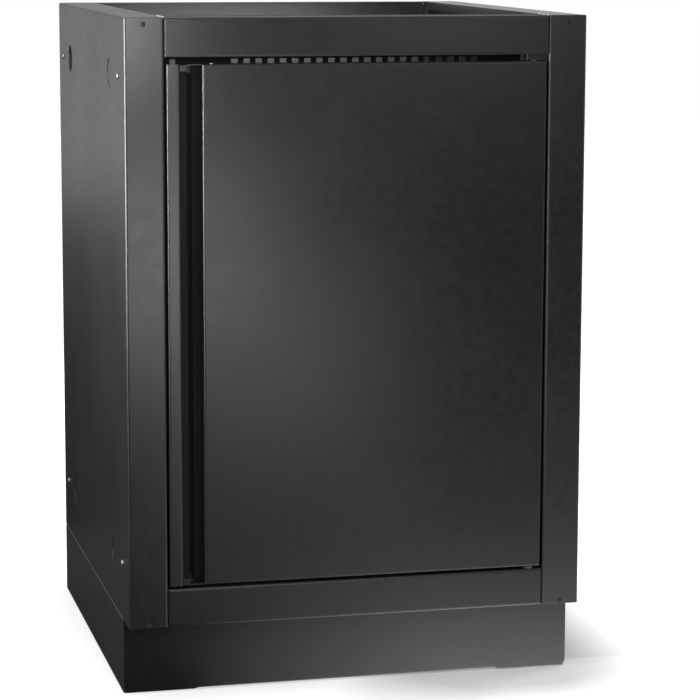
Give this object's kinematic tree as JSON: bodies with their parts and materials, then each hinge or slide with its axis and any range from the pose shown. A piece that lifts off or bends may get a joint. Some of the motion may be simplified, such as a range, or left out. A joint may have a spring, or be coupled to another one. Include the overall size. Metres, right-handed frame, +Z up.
{
  "type": "outdoor kitchen cabinet",
  "caption": "Powder-coated sheet-metal base cabinet on a recessed plinth, open at the top for a worktop, with an inset pivot door pulled by a full-height finger channel.",
  "frame": {"origin": "on the floor at the middle of the cabinet's footprint", "axes": "+X to the viewer's right of the front, +Y from the front to the back, +Z up"},
  "size_m": [0.61, 0.63, 0.89],
  "materials": {
    "powder_coat": "fine textured charcoal powder coat, satin",
    "zinc_steel": "bright zinc-plated steel",
    "nylon": "matt black nylon",
    "rubber": "soft black rubber",
    "magnet_steel": "dull grey ferrite with a steel pole face"
  },
  "bodies": {
    "carcass": {"back_panel": "powder_coat", "bottom_rail": "powder_coat", "catch_body": "nylon", "catch_magnet": "magnet_steel", "face_screw_left_lower": "powder_coat", "face_screw_left_upper": "powder_coat", "face_screw_right_lower": "powder_coat", "face_screw_right_upper": "powder_coat", "floor_pan": "powder_coat", "foot_bracket_front_left": "zinc_steel", "foot_bracket_front_right": "zinc_steel", "foot_bracket_rear_left": "zinc_steel", "foot_bracket_rear_right": "zinc_steel", "header": "powder_coat", "hole_cap_left_lower_front": "powder_coat", "hole_cap_left_lower_rear": "powder_coat", "hole_cap_left_upper_front": "powder_coat", "hole_cap_right_lower_front": "powder_coat", "hole_cap_right_lower_rear": "powder_coat", "hole_cap_right_upper_front": "powder_coat", "hole_cap_right_upper_rear": "powder_coat", "kick_plate": "powder_coat", "levelling_foot_front_left": "zinc_steel", "levelling_foot_front_right": "zinc_steel", "levelling_foot_rear_left": "zinc_steel", "levelling_foot_rear_right": "zinc_steel", "pivot_bearing": "nylon", "pivot_pin_lower": "zinc_steel", "pivot_washer": "nylon", "plinth_cross_member": "powder_coat", "plinth_side_left": "powder_coat", "plinth_side_right": "powder_coat", "rear_bottom_rail": "powder_coat", "rear_top_rail": "powder_coat", "shelf": "powder_coat", "shelf_clip_left_front": "zinc_steel", "shelf_clip_left_rear": "zinc_steel", "shelf_clip_right_front": "zinc_steel", "shelf_clip_right_rear": "zinc_steel", "shelf_standard_left_front": "zinc_steel", "shelf_standard_left_rear": "zinc_steel", "shelf_standard_right_front": "zinc_steel", "shelf_standard_right_rear": "zinc_steel", "side_panel_left": "powder_coat", "side_panel_right": "powder_coat"},
    "door": {"channel_closer_lower": "powder_coat", "channel_closer_upper": "powder_coat", "channel_seal": "rubber", "door_bumper_lower": "rubber", "door_bumper_upper": "rubber", "door_button": "zinc_steel", "door_grip": "powder_coat", "door_inner_pan": "powder_coat", "door_skin": "powder_coat", "pivot_housing_lower": "nylon", "pivot_housing_upper": "nylon", "pivot_pin_upper": "zinc_steel", "strike_plate": "zinc_steel"}
  },
  "joints": [
    {"name": "door_hinge", "type": "hinge", "parent": "carcass", "child": "door", "pos_m": [0.236, -0.306, 0.493], "axis": [0, 0, 1], "range_deg": [0, 110]}
  ]
}
